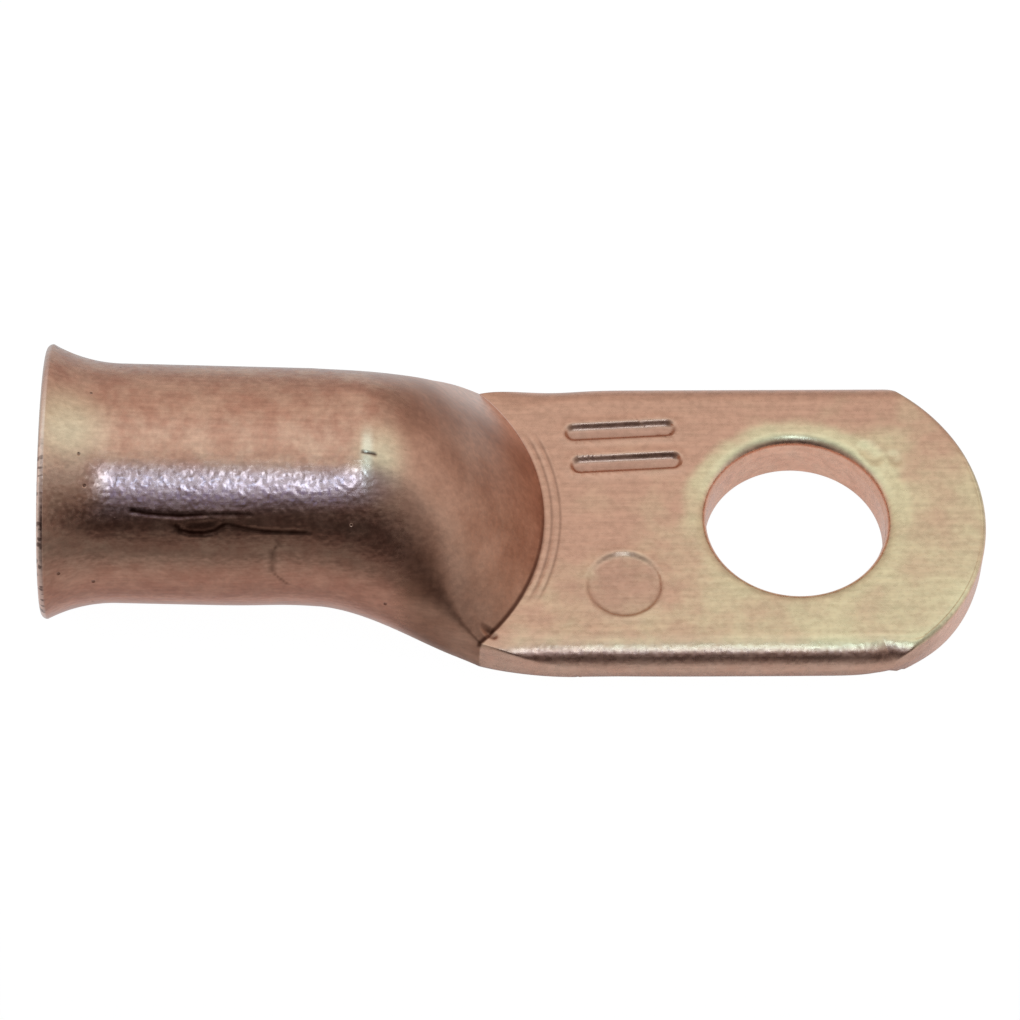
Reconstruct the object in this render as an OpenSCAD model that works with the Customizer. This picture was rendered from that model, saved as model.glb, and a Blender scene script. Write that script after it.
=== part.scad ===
// Copper cable lug: one length of copper tube, belled at the open end,
// pressed flat into a palm at the other and pierced for a stud.
// Origin: centre of the stud hole on the palm's contact face. +X runs to the palm's tip,
// -X to the cable, +Z is up out of the palm. Millimetres.

/* [Tube] */
// Outer diameter of the tube
tube_d = 13.7; // [12.5:0.1:15]
// Wall thickness of the tube
wall = 1.6; // [1.4:0.05:1.8]
// Distance from the stud hole to the rim of the open end
rim_reach = 43.2; // [40:0.1:60]
// Upward lean of the tube from the palm, in degrees
lean = 2.8; // [1:0.1:4]
// How far the tube's belly hangs below the palm where the neck begins
belly_drop = 0.66; // [0.3:0.02:1]

/* [Bell mouth] */
// How far the rim stands out from the tube
bell_rise = 1.0; // [0.5:0.05:1.5]
// Length of the belled stretch
bell_length = 3.9; // [3:0.1:6]
// Radius on the edges of the rim
rim_round = 0.35; // [0.2:0.05:0.5]

/* [Palm] */
// Width of the palm across its folded edges
palm_width = 19.4; // [18:0.1:20.4]
// Radius of the palm's tip about the stud hole
tip_radius = 11; // [10.3:0.1:13]
// Radius on the sheared edges of the tip
tip_round = 0.45; // [0.2:0.05:0.7]

/* [Stud hole] */
// Diameter of the stud hole
stud_d = 10.4; // [8:0.1:12]
// Radius that the punch rolled into the upper edge of the hole
punch_roll = 0.8; // [0.4:0.05:1]
// Radius on the lower edge of the hole
exit_round = 0.25; // [0.1:0.05:0.4]

/* [Neck] */
// Distance from the stud hole to the crease at the foot of the pressed face
crease_reach = 14.65; // [14:0.05:16]
// Radius of the crease, seen from above
crease_radius = 12.1; // [11.5:0.1:14]
// Slope of the pressed face, in degrees
press_slope = 53; // [48:0.5:56]
// How softly the pressed face turns into the round tube
press_blend = 4.4; // [3:0.1:5]
// Length of the neck, in which the round tube spreads to the palm
neck_length = 14.8; // [14:0.1:16]
// How early the neck spreads, from 0.8 (soon) to 1.2 (late)
neck_swell = 0.98; // [0.8:0.02:1.2]
// Length in which the widest part of the tube comes down to the palm's edge
edge_length = 10.3; // [9.5:0.1:12.5]
// Length of tube that keeps its round belly before it rises to the palm
belly_length = 6; // [4:0.1:8]
// Depth from the pressed face to the widest part of the tube beside it
edge_depth = 1.6; // [0.6:0.05:1.8]

/* [Hidden] */
$fn = 64;

// Both walls of the flattened tube lie on each other in the palm
palm_t = 2 * wall;
tube_r = tube_d / 2;
bore_r = tube_r - wall;
stud_r = stud_d / 2;

// The neck runs from neck_x0, on the round tube, over the crease to neck_x1, where
// the folded edges of the palm are full round. It has fold_run for that.
crease_x = -crease_reach;
fold_run = 1.7;
neck_x1 = crease_x + fold_run;
neck_x0 = neck_x1 - neck_length;
axis_z0 = tube_r - belly_drop;
tube_length = (rim_reach + neck_x0) / cos(lean);

// The lofted neck runs a little way into the tube and into the palm, a hair
// inside their surfaces, so that the solids cross each other cleanly
sink = 0.6;
hair = 0.02;
neck_steps = 28;
fold_steps = 5;
neck_sides = 72;
void_steps = 18;
void_sides = 48;
cross_steps = 4;

// The pressed face is part of a cone that stands on the crease. Its axis is at
// press_x, and from lift_run before that the face also turns up, by lift_rate
// times the square of the distance, and leaves the tube round.
press_x = crease_x - crease_radius;
lift_run = 4.4;
lift_rate = 0.075;

// The two walls close the void where the inner side of the pressed face comes
// down to the lower wall
void_x1 = crease_x - (wall / cos(press_slope) - wall) / tan(press_slope);

// Where the punch and the shear round an edge over, the arc stops short of level
// by half of this angle, so that it leaves the face at a clean line
edge_tilt = 12;
far = 40;

function mix(a, b, t) = a * (1 - t) + b * t;

// 0 to 1 with a level start and a level end
function ease(t) = let (u = min(max(t, 0), 1)) u * u * (3 - 2 * u);

// The lower of two heights, with a soft turn over the last k between them
function soft_min(a, b, k) =
    let (h = max(k - abs(a - b), 0) / k)
    min(a, b) - h * h * k / 4;

// Height of the tube's axis at x, before it is pressed
function axis_z(x) = axis_z0 + (neck_x0 - x) * tan(lean);

// How flat the tube is at x: 0 on the round tube, 1 on the palm
function spread(x) =
    ease(pow(max(x - neck_x0, 0) / neck_length, neck_swell));

// Half the width at x, and how much of it is the rounding of the edge
function half_width(x, inset) =
    mix(tube_r, palm_width / 2, spread(x)) - inset;
function edge_round(x, inset) =
    min(mix(tube_r, palm_t / 2, spread(x)) - inset, half_width(x, inset));

// Height of the widest part of the tube at x, and of its belly
function edge_z(x) = mix(axis_z(x), palm_t / 2, ease((x - neck_x0) / edge_length));
function belly_z(x) =
    mix(axis_z(x) - tube_r, 0,
        ease((x - neck_x0 - belly_length) / (neck_length - belly_length)));

// Height of the pressed face over a point of the palm's plane
function press_z(x, y) =
    palm_t
    + tan(press_slope) * max(crease_radius - norm([max(x - press_x, 0), y]), 0)
    + lift_rate * pow(max(press_x + lift_run - x, 0), 2);

// The neck is lofted through bowed sheets. The sheet at u meets the middle plane
// at u and bows back at the sides, most at the crease, which lies in one sheet.
function bow(u) =
    u < crease_x
        ? ease((u - neck_x0) / (crease_x - neck_x0))
        : max((neck_x1 - u) / (neck_x1 - crease_x), 0);
function sheet_x(u, y) =
    u + bow(u) * (sqrt(pow(crease_radius, 2) - y * y) - crease_radius);

// Where the sheet at u crosses the share c of the half width: the width depends
// on x, so x is found in a few steps
function sheet_cross(u, c, inset, x, steps) =
    steps == 0
        ? x
        : sheet_cross(u, c, inset, sheet_x(u, c * half_width(x, inset)), steps - 1);

// A point of the neck on the sheet at u and at angle a round the section, inset
// from the outer skin. The section is a bar with elliptical edges, a circle on
// the tube, whose top is brought down to the pressed face.
function neck_point(u, a, inset) =
    let (
        x = sheet_cross(u, cos(a), inset, u, cross_steps),
        half = half_width(x, inset),
        y = half * cos(a),
        out = max(abs(y) - half + edge_round(x, inset), 0) / edge_round(x, inset),
        rise = sqrt(max(1 - out * out, 0)),
        sunk = inset / cos(press_slope),
        low = belly_z(x) + inset,
        edge_top = press_z(x, half) - sunk,
        depth = min(edge_depth, (edge_top - low) / 2),
        under_press = soft_min(edge_z(x), edge_top - depth, min(1, 2 * depth)),
        turn = ease((u - crease_x) / (neck_x1 - crease_x)),
        mid = mix(under_press, palm_t / 2, turn),
        face = press_z(x, y) - sunk,
        round_top = mid + (axis_z(x) + tube_r - inset - mid) * rise,
        pressed = soft_min(round_top, face, min(press_blend, max(face - mid, hair))),
        folded = mid + (palm_t - inset - mid) * rise
    )
    [x, y, a < 180 ? mix(pressed, folded, turn) : mid - (mid - low) * rise];

function neck_ring(u, inset, sides) =
    [for (i = [0 : sides - 1]) neck_point(u, 360 * i / sides, inset)];

// Evenly spaced values from a to b
function steps_between(a, b, n) = [for (i = [0 : n]) a + (b - a) * i / n];

// Skin over a stack of rings that all have the same number of points
module loft(rings) {
    n = len(rings[0]);
    m = len(rings);
    points = [for (ring = rings) each ring];
    sides = [for (j = [0 : m - 2], i = [0 : n - 1])
        let (
            a = j * n + i,
            b = j * n + (i + 1) % n
        )
        each [[a, b + n, b], [a, a + n, b + n]]];
    start = [for (i = [0 : n - 1]) i];
    end = [for (i = [0 : n - 1]) m * n - 1 - i];
    polyhedron(points = points, faces = concat(sides, [start, end]));
}

// Points of an arc about a centre, from angle a0 to a1
function arc(centre, r, a0, a1, steps) =
    [for (i = [0 : steps])
        let (a = a0 + (a1 - a0) * i / steps)
        centre + r * [cos(a), sin(a)]];

// Half of a bell curve: an arc that leaves the straight wall at r, level with
// it, and ends rise further out at height top
function bell(r, rise, run, top, steps) =
    let (
        bend = (run * run + rise * rise) / (2 * rise),
        turn = asin(run / bend)
    )
    arc([r + bend, top - run], bend, 180, 180 - turn, steps);

// Places a shape on the tube's axis, with z running from the neck to the rim
module on_tube_axis() {
    translate([neck_x0, 0, axis_z0])
        rotate([0, lean - 90, 0])
            children();
}

// The round tube with its belled end, still solid
module tube_skin() {
    top = tube_length;
    rim_r = tube_r + bell_rise;
    on_tube_axis()
        rotate_extrude()
            polygon(concat(
                [[0, 0], [tube_r, 0]],
                bell(tube_r, bell_rise, bell_length, top - rim_round, 12),
                arc([rim_r - rim_round, top - rim_round], rim_round, 15, 90, 5),
                [[0, top]]));
}

// The bore: straight for the cable, belled to lead it in
module tube_bore() {
    top = tube_length;
    mouth_r = bore_r + bell_rise;
    on_tube_axis()
        rotate_extrude()
            polygon(concat(
                [[0, 0], [bore_r, 0]],
                bell(bore_r, bell_rise, bell_length, top - rim_round, 12),
                arc([mouth_r + rim_round, top - rim_round], rim_round, 165, 110, 4),
                [[mouth_r + rim_round, top + 1], [0, top + 1]]));
}

// The neck: the tube spreads, its top comes down along the pressed face to the
// crease, and past the crease its edges turn into the palm's folds
module neck_skin() {
    to_crease = steps_between(neck_x0 - sink, crease_x, neck_steps);
    to_palm = steps_between(crease_x, neck_x1 + sink, fold_steps);
    sheets = concat(to_crease, [for (i = [1 : fold_steps]) to_palm[i]]);
    loft([for (u = sheets) neck_ring(u, hair, neck_sides)]);
}

// What stays open inside the neck, a wedge that closes where the walls meet
module neck_void() {
    loft([for (u = steps_between(neck_x0 - sink, void_x1, void_steps))
        neck_ring(u, wall + hair, void_sides)]);
}

// The palm: a bar with folded, full-round edges and a sheared, round tip
module palm() {
    reach = tip_radius + 1;
    difference() {
        union() {
            translate([neck_x1, -palm_width / 2 + wall, 0])
                cube([reach - neck_x1, palm_width - palm_t, palm_t]);
            for (side = [-1, 1])
                translate([neck_x1, side * (palm_width / 2 - wall), wall])
                    rotate([0, 90, 0])
                        cylinder(r = wall, h = reach - neck_x1);
        }
        tip_shear();
    }
}

// What the shear takes off round the tip, with the edges that it drags round
module tip_shear() {
    low = [tip_radius - tip_round, tip_round * cos(edge_tilt)];
    high = [tip_radius - tip_round, palm_t - tip_round * cos(edge_tilt)];
    difference() {
        rotate_extrude()
            polygon(concat(
                [[far, -1], [tip_radius - tip_round - 1, -1]],
                arc(low, tip_round, edge_tilt / 2 - 90, 0, 6),
                arc(high, tip_round, 0, 90 - edge_tilt / 2, 6),
                [[tip_radius - tip_round - 1, palm_t + 1], [far, palm_t + 1]]));
        translate([-far, -far, -2])
            cube([far, 2 * far, palm_t + 4]);
    }
}

// The stud hole, with the edge that the punch rolled in and the one it left
module stud_hole() {
    low = [stud_r + exit_round, exit_round * cos(edge_tilt)];
    high = [stud_r + punch_roll, palm_t - punch_roll * cos(edge_tilt)];
    rotate_extrude()
        polygon(concat(
            [[0, -1], [stud_r + exit_round, -1]],
            arc(low, exit_round, 270 - edge_tilt / 2, 180, 5),
            arc(high, punch_roll, 180, 90 + edge_tilt / 2, 9),
            [[stud_r + punch_roll, palm_t + 1], [0, palm_t + 1]]));
}

module cable_lug() {
    color("#c08a66")
        difference() {
            union() {
                tube_skin();
                neck_skin();
                palm();
            }
            tube_bore();
            neck_void();
            stud_hole();
        }
}

cable_lug();
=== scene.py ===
# %% [markdown]
# # A copper cable lug
# A cable lug is made from one length of copper tube. One end is belled so that the
# strands of a cable slide in, the other is pressed flat into a palm and pierced for
# a stud. The solid part fixes every size; this file gives it a finer skin, the soft
# turns that a press leaves, and the look of handled, lightly tarnished copper.

import math

import bmesh
import bpy
import numpy as np
from mathutils import Matrix, Vector


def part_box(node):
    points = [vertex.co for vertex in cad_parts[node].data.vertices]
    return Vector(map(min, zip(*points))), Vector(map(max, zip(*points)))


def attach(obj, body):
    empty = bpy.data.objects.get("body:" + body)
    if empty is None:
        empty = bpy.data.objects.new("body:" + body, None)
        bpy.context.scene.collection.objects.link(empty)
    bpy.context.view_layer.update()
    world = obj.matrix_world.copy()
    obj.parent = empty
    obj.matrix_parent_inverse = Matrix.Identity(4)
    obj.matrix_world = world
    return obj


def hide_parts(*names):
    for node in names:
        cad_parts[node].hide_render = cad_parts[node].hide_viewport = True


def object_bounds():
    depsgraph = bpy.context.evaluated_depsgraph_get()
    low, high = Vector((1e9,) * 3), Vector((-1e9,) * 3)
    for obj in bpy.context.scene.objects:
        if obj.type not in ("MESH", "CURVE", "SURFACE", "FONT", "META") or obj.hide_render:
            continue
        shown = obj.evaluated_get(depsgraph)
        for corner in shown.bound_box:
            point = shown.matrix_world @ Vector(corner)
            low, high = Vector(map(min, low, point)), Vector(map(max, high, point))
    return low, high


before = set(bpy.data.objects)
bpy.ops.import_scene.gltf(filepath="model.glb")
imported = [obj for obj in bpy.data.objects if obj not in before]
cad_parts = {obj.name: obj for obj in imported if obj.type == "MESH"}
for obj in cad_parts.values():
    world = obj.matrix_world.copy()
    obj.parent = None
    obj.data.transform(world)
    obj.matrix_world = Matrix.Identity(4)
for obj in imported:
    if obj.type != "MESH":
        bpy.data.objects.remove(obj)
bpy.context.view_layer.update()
MM = 0.001
lug_low, lug_high = [np.array(corner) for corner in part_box("cable_lug")]
print("lug box, mm:", np.round(lug_low / MM, 2), np.round(lug_high / MM, 2))

# %% [markdown]
# ## Small helpers
# Blender works in linear light, and people pick colours as sRGB, so one function
# turns a hex value into linear numbers. Another adds any shader node, makes its
# settings and fills or links its inputs. A kind of node is its type and settings, so
# that a sum of nodes can be read like a line of arithmetic.


# %% Colour and node helpers
def linear(hex_colour):
    """sRGB hex to linear red, green, blue and an alpha of 1."""
    value = np.array([int(hex_colour[i : i + 2], 16) for i in (1, 3, 5)]) / 255.0
    curve = np.where(value <= 0.04045, value / 12.92, ((value + 0.055) / 1.055) ** 2.4)
    return (*curve.tolist(), 1.0)


def kind(node_type, **settings):
    """A kind of shader node: the end of its type's name, and its settings."""
    return "ShaderNode" + node_type, settings


def add_node(tree, what, *values, **named):
    """Adds a node of a kind and returns it. Values go to its live inputs in order and
    named values to the inputs of that name. Each is a number, a tuple, an output to
    link, or a node, which stands for its first live output."""
    node_type, settings = what
    node = tree.nodes.new(node_type)
    for setting, choice in settings.items():
        setattr(node, setting, choice)
    pairs = list(zip([socket for socket in node.inputs if socket.enabled], values))
    pairs += [(node.inputs[name.replace("_", " ")], value) for name, value in named.items()]
    for socket, value in pairs:
        if isinstance(value, bpy.types.Node):
            value = next(output for output in value.outputs if output.enabled)
        if isinstance(value, bpy.types.NodeSocket):
            tree.links.new(value, socket)
        else:
            socket.default_value = value
    return node


print("copper brown as linear numbers:", [round(part, 3) for part in linear("#c08a70")])


# %% [markdown]
# Two more helpers: one fills a colour ramp with its stops, and one makes a soft round
# patch, the simplest mask of all, from a distance and a smooth step.


# %% Stops and patches
def set_stops(node, stops):
    """Puts stops, pairs of position and linear colour, on a colour ramp node."""
    marks = node.color_ramp.elements
    while len(marks) < len(stops):
        marks.new(0.5)
    for mark, (position, colour) in zip(marks, stops):
        mark.position = position
        mark.color = colour


def patch(tree, where, centre, reach, core):
    """A soft round patch about a point: 1 inside core, 0 at reach, in mm."""
    away = add_node(tree, kind("VectorMath", operation="DISTANCE"), where, centre)
    return add_node(tree, kind("MapRange", interpolation_type="SMOOTHSTEP"), away, reach, core)


print("helpers ready: linear, kind, add_node, set_stops, patch")

# %% [markdown]
# ## The sizes
# These are the same named sizes as in the part's source, in millimetres, because
# the skin follows the same formulas. The origin is the centre of the stud hole on
# the palm's underside, +X runs to the tip and +Z is up.

# %% Sizes of the lug
TUBE_R = 13.7 / 2
WALL = 1.6
BORE_R = TUBE_R - WALL
RIM_REACH = 43.2
LEAN = math.radians(2.8)
BELL_RISE, BELL_LENGTH, RIM_ROUND = 1.0, 3.9, 0.35
PALM_HALF, PALM_T = 19.4 / 2, 2 * WALL
TIP_R, TIP_ROUND = 11.0, 0.45
STUD_R, PUNCH_ROLL, EXIT_ROUND = 10.4 / 2, 0.8, 0.25
CREASE_X, CREASE_R, FOLD_RUN = -14.65, 12.1, 1.7
PRESS_SLOPE, PRESS_BLEND = math.tan(math.radians(53)), 4.4
LIFT_RUN, LIFT_RATE = 4.4, 0.075
NECK_X1 = CREASE_X + FOLD_RUN
NECK_X0 = NECK_X1 - 14.8
NECK_SWELL, EDGE_LENGTH, BELLY_LENGTH, EDGE_DEPTH = 0.98, 10.3, 6.0, 1.6
AXIS_Z0 = TUBE_R - 0.66
TUBE_LENGTH = (RIM_REACH + NECK_X0) / math.cos(LEAN)
PRESS_X = CREASE_X - CREASE_R
SUNK = 1 / math.cos(math.atan(PRESS_SLOPE))
TUBE_AXIS = (-math.cos(LEAN), 0.0, math.sin(LEAN))
ROUND = 216
print("tube length %.2f mm, neck from %.1f to %.1f mm" % (TUBE_LENGTH, NECK_X0, NECK_X1))

# %% [markdown]
# ## The neck, as a function
# The neck is the hardest piece: a round tube spreads into a bar while a press
# brings its top down along a cone to a sharp crease. It is written as one function
# of two parameters, the sheet u along the lug and the angle round the section. The
# sheets bow back at the sides so that the crease, an arc, lies in one of them.


# %% Blends
def mix(a, b, t):
    """From a at t = 0 to b at t = 1, in a straight line."""
    return a * (1 - t) + b * t


def ease(t):
    """Smoothstep: 0 to 1 with a level start and a level end."""
    u = np.clip(t, 0, 1)
    return u * u * (3 - 2 * u)


def soft_min(a, b, k):
    """The lower of a and b, rounded where they are less than k apart."""
    h = np.maximum(k - np.abs(a - b), 0) / k
    return np.minimum(a, b) - h * h * k / 4


print("soft minimum of 1 and 1 over 0.4: %.2f" % soft_min(1.0, 1.0, 0.4))

# %% [markdown]
# ### What the neck lies between
# The tube's leaning axis, how far the section has spread, and the face of the press
# are each a height or a share that depends on the place alone.


# %% Axis, spread and press
def axis_z(x):
    """Height of the tube's leaning axis at x."""
    return AXIS_Z0 + (NECK_X0 - x) * math.tan(LEAN)


def spread(x):
    """How far the section has spread from round, 0, to flat, 1."""
    return ease((np.maximum(x - NECK_X0, 0) / (NECK_X1 - NECK_X0)) ** NECK_SWELL)


def press_z(x, y):
    """Height of the pressed face: a cone over the crease, lifting off the tube."""
    inside = np.maximum(CREASE_R - np.hypot(np.maximum(x - PRESS_X, 0), y), 0)
    lift = np.maximum(PRESS_X + LIFT_RUN - x, 0)
    return PALM_T + PRESS_SLOPE * inside + LIFT_RATE * lift**2


print("press face at the crease and at the neck's start, mm: %.2f %.2f" % (
    press_z(CREASE_X, 0.0), press_z(NECK_X0, 0.0),
))

# %% [markdown]
# ### The points of the neck
# With an inset of 0 this is the outer skin, and with an inset of one wall it is the
# closed end of the bore, so the wall keeps its thickness down to the fold.


# %% Points of the neck
def neck_points(u, angle, inset):
    """Points of the neck for sheets u (rows) and angles round the section
    (columns), inset from the outer skin. y is the half width times the cosine of
    the angle; the edges are quarter ellipses; the top is the soft minimum of the
    round tube and the pressed face. Five rounds find x, as it depends on y."""
    u, c = u[:, None], np.cos(angle)[None, :]
    before = ease((u - NECK_X0) / (CREASE_X - NECK_X0))
    after = np.clip((NECK_X1 - u) / (NECK_X1 - CREASE_X), 0, 1)
    bow = np.where(u < CREASE_X, before, after)
    x = u + 0 * c
    for _ in range(5):
        half = mix(TUBE_R, PALM_HALF, spread(x)) - inset
        y = half * c
        x = u + bow * (np.sqrt(CREASE_R**2 - y * y) - CREASE_R)
    half = mix(TUBE_R, PALM_HALF, spread(x)) - inset
    y = half * c
    edge = np.minimum(mix(TUBE_R, PALM_T / 2, spread(x)) - inset, half)
    out = np.maximum(np.abs(y) - half + edge, 0) / edge
    rise = np.sqrt(np.maximum(1 - out * out, 0))
    belly = ease((x - NECK_X0 - BELLY_LENGTH) / (NECK_X1 - NECK_X0 - BELLY_LENGTH))
    low = mix(axis_z(x) - TUBE_R, 0, belly) + inset
    edge_top = press_z(x, half) - inset * SUNK
    depth = np.minimum(EDGE_DEPTH, (edge_top - low) / 2)
    edge_z = mix(axis_z(x), PALM_T / 2, ease((x - NECK_X0) / EDGE_LENGTH))
    turn = ease((u - CREASE_X) / (NECK_X1 - CREASE_X))
    mid = mix(soft_min(edge_z, edge_top - depth, np.minimum(1, 2 * depth)), PALM_T / 2, turn)
    face = press_z(x, y) - inset * SUNK
    round_top = mid + (axis_z(x) + TUBE_R - inset - mid) * rise
    blend = np.minimum(PRESS_BLEND, np.maximum(face - mid, 0.02))
    pressed = soft_min(round_top, face, blend)
    folded = mid + (PALM_T - inset - mid) * rise
    top = mix(pressed, folded, turn)
    z = np.where(np.sin(angle)[None, :] >= -1e-9, top, mid - (mid - low) * rise)
    return np.stack([x, y, z], axis=-1)


crest = neck_points(np.array([-20.0]), np.array([np.pi / 2]), 0.0)[0, 0]
print("top of the neck, mm:", np.round(crest, 2))


# %% [markdown]
# ## The tube and its bell
# The round end is a profile, radius against distance along the leaning axis, turned
# about that axis. The same rows of points go round the outside and back down the
# bore, so the rim closes by itself.


# %% Tube functions
def tube_points(along, radius, angle):
    """Circles of the given radii, set square on the leaning axis at the given
    distances from the neck."""
    up = np.array([math.sin(LEAN), 0, math.cos(LEAN)])
    side = np.array([0, 1.0, 0])
    centre = np.array([NECK_X0, 0, AXIS_Z0]) + along[:, None] * np.array(TUBE_AXIS)
    spoke = np.cos(angle)[:, None] * side + np.sin(angle)[:, None] * up
    return centre[:, None] + radius[:, None, None] * spoke[None]


def bell(r, top, count):
    """Radius along a bell: an arc that leaves the straight wall level with it and
    stands BELL_RISE further out at the top."""
    bend = (BELL_LENGTH**2 + BELL_RISE**2) / (2 * BELL_RISE)
    turn = np.linspace(0, math.asin(BELL_LENGTH / bend), count)
    return top - BELL_LENGTH + bend * np.sin(turn), r + bend * (1 - np.cos(turn))


angle = np.linspace(0, 2 * np.pi, ROUND, endpoint=False)
FIRST_ROW = 0.4
rim_base = TUBE_LENGTH - RIM_ROUND
straight = np.linspace(FIRST_ROW, rim_base - BELL_LENGTH, 34)[:-1]
print("points round the section:", ROUND, "straight wall, mm: %.2f" % straight[-1])

# %% [markdown]
# ## The profile round the rim
# The profile runs from the neck out to the rim, over its rounded edge and back down
# the belled bore.

# %% Profile of tube, rim and bore
rim_r, mouth_r = TUBE_R + BELL_RISE, BORE_R + BELL_RISE
over = np.radians(np.linspace(15, 90, 8))
back = np.radians(np.linspace(110, 165, 7))
out_bell, in_bell = bell(TUBE_R, rim_base, 22), bell(BORE_R, rim_base, 16)
bore_run = np.linspace(rim_base - BELL_LENGTH, FIRST_ROW, 6)[1:]
along = np.concatenate([
    straight, out_bell[0],
    rim_base + RIM_ROUND * np.sin(over),
    rim_base + RIM_ROUND * np.sin(back),
    in_bell[0][::-1], bore_run,
])
radius = np.concatenate([
    np.full_like(straight, TUBE_R), out_bell[1],
    rim_r - RIM_ROUND + RIM_ROUND * np.cos(over),
    mouth_r + RIM_ROUND + RIM_ROUND * np.cos(back),
    in_bell[1][::-1], np.full_like(bore_run, BORE_R),
])
tube = tube_points(along, radius, angle)
print("tube rows:", tube.shape)

# %% [markdown]
# ## The rows of the lug
# Rows are listed from the start of the palm, back along the outside of the neck and
# the tube, over the rim and down the bore to its closed end. Neighbouring rows join
# into one skin.

# %% Rows of neck, tube and bore
FIRST_SHEET = NECK_X0 + 0.3
void_x1 = CREASE_X - (WALL * SUNK - WALL) / PRESS_SLOPE
outer_sheets = np.concatenate([
    np.linspace(FIRST_SHEET, CREASE_X, 90)[:-1],
    np.linspace(CREASE_X, NECK_X1, 25),
])
outer_neck = neck_points(outer_sheets, angle, 0.0)
inner_neck = neck_points(np.linspace(FIRST_SHEET, void_x1, 14), angle, WALL)
rows = np.concatenate([outer_neck[::-1], tube, inner_neck])
print("rows round the lug:", rows.shape)

# %% [markdown]
# ## The palm
# The palm is a bar with folded, full-round edges, a tip sheared to an arc and a
# punched hole. Its skin is laid in rays from the hole: each ray climbs the hole's
# wall, rolls over the punched edge, crosses the flat and goes down the outer edge to
# mid height. Rays to the left end on the last row of the neck, point for point.


# %% Outline of the palm
def edge_half(z):
    """Half the palm's width at height z: the full-round fold."""
    return PALM_HALF - WALL + np.sqrt(np.maximum(WALL**2 - (z - WALL) ** 2, 0))


def tip_reach(z):
    """Radius of the sheared tip at height z, with its rounded edges."""
    depth = np.clip(TIP_ROUND - np.minimum(z, PALM_T - z), 0, TIP_ROUND)
    return TIP_R - TIP_ROUND + np.sqrt(TIP_ROUND**2 - depth**2)


print("half width and tip at mid height, mm: %.2f %.2f" % (edge_half(WALL), tip_reach(WALL)))

# %% [markdown]
# ### One face of the palm
# All rays are worked out together, as rows of one array. A ray that meets the neck
# stops there, part of the way round the fold, and the others go on to mid height.

# %% A face of the palm
EDGE_STRETCH = 2.4


def palm_face(ray, ends, fold_end, roll, turns, count):
    """The upper face of the palm in rays from the hole. Along a ray: up the wall,
    a quarter circle over the edge, straight over the flat, then round the outer
    edge from angle 90 degrees (level) to fold_end. The steps are even in s, which
    counts the outer edge EDGE_STRETCH times its radius, so that it gets more of
    them. The lower face is the same, turned over."""
    wall_z = np.linspace(PALM_T / 2, PALM_T - roll, 6)[:-1]
    quarter = np.radians(np.linspace(180, 90, turns))[:-1]
    start = STUD_R + roll
    inner_d = np.concatenate([np.full_like(wall_z, STUD_R), start + roll * np.cos(quarter)])
    inner_z = np.concatenate([wall_z, PALM_T - roll * (1 - np.sin(quarter))])
    side = np.maximum(np.abs(np.sin(ray)), 1e-6)[:, None]
    ends, fold_end = ends[:, None], fold_end[:, None]
    sheared = np.cos(ray)[:, None] > 0
    flat_tip = np.where(sheared, TIP_R - TIP_ROUND, ends)
    flat_end = np.minimum(np.minimum((PALM_HALF - WALL) / side, flat_tip), ends)
    flat_run = flat_end - start
    edge_run = EDGE_STRETCH * WALL * (np.pi / 2 - fold_end)
    s = np.linspace(0, 1, count)[None] * (flat_run + edge_run)
    turn = np.clip((s - flat_run) / np.maximum(edge_run, 1e-9), 0, 1)
    down = np.pi / 2 + (fold_end - np.pi / 2) * turn
    edge_z = WALL + WALL * np.sin(down)
    edge_tip = np.where(sheared, tip_reach(edge_z), ends)
    edge_d = np.minimum(np.minimum(edge_half(edge_z) / side, edge_tip), ends)
    outer_d = np.where(s <= flat_run, start + s, edge_d)
    outer_z = np.where(s <= flat_run, PALM_T, edge_z)
    d = np.concatenate([np.broadcast_to(inner_d, (len(ray), len(inner_d))), outer_d], axis=1)
    z = np.concatenate([np.broadcast_to(inner_z, (len(ray), len(inner_z))), outer_z], axis=1)
    return np.stack([d * np.cos(ray)[:, None], d * np.sin(ray)[:, None], z], axis=-1)


# %% [markdown]
# ### The rays
# A quarter of the rays go to the points where the neck ends. The others fan out to
# the sides and the tip, and crowd together near the tip's two corners, where the
# outline turns sharply.

# %% Rays and faces of the palm
TURN = 2 * np.pi
TIP_RAYS, CROWD, CROWD_WIDTH = 300, 3, 0.12
meeting = outer_neck[-1][: ROUND // 2 + 1]
to_neck = np.arctan2(meeting[:, 1], meeting[:, 0]) % TURN
even = np.linspace(to_neck[-1], to_neck[0] + TURN, 4000)
corner = math.asin(PALM_HALF / TIP_R)
from_corner = np.abs((even + np.pi) % TURN - np.pi) - corner
crowd = np.cumsum(1 + CROWD * np.exp(-((from_corner / CROWD_WIDTH) ** 2)))
others = np.interp(np.linspace(crowd[0], crowd[-1], TIP_RAYS)[1:-1], crowd, even)
rays = np.concatenate([to_neck, others])
ends = np.concatenate([np.hypot(meeting[:, 0], meeting[:, 1]), np.full(len(others), 1e3)])
share = np.clip((np.abs(meeting[:, 1]) - PALM_HALF + WALL) / WALL, 0, 1)
fold_end = np.concatenate([np.arccos(share), np.zeros(len(others))])
palm_top = palm_face(rays, ends, fold_end, PUNCH_ROLL, 15, 46)
palm_low = palm_face(rays, ends, fold_end, EXIT_ROUND, 6, 10)
palm_low[..., 2] = PALM_T - palm_low[..., 2]
print("rays of the palm:", len(rays), "top", palm_top.shape, "underside", palm_low.shape)

# %% [markdown]
# ## One skin
# All the grids go into one mesh. Where two grids share a row of points the doubles
# are merged, which closes the skin, and the normals are then made to face out.


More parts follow.
